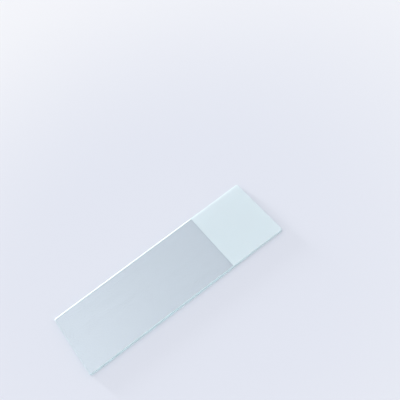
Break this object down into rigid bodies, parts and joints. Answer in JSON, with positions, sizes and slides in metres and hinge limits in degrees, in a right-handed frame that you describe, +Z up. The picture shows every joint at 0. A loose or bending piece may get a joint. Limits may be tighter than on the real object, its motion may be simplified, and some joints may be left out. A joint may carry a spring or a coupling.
{
  "type": "microscope slide",
  "caption": "Flat rectangular glass microscope slide with ground edges and one frosted end for marking.",
  "frame": {"origin": "middle of the underside of the glass", "axes": "+X along the length to the frosted end, +Y across the width, +Z up through the thickness, frosted face up"},
  "size_m": [0.0762, 0.0254, 0.001],
  "materials": {
    "float_glass": "clear polished faces with a faint aqua tint, fine ground edges, one end etched to a whitish matt"
  },
  "bodies": {
    "root": {"glass_slide": "float_glass"}
  },
  "joints": []
}
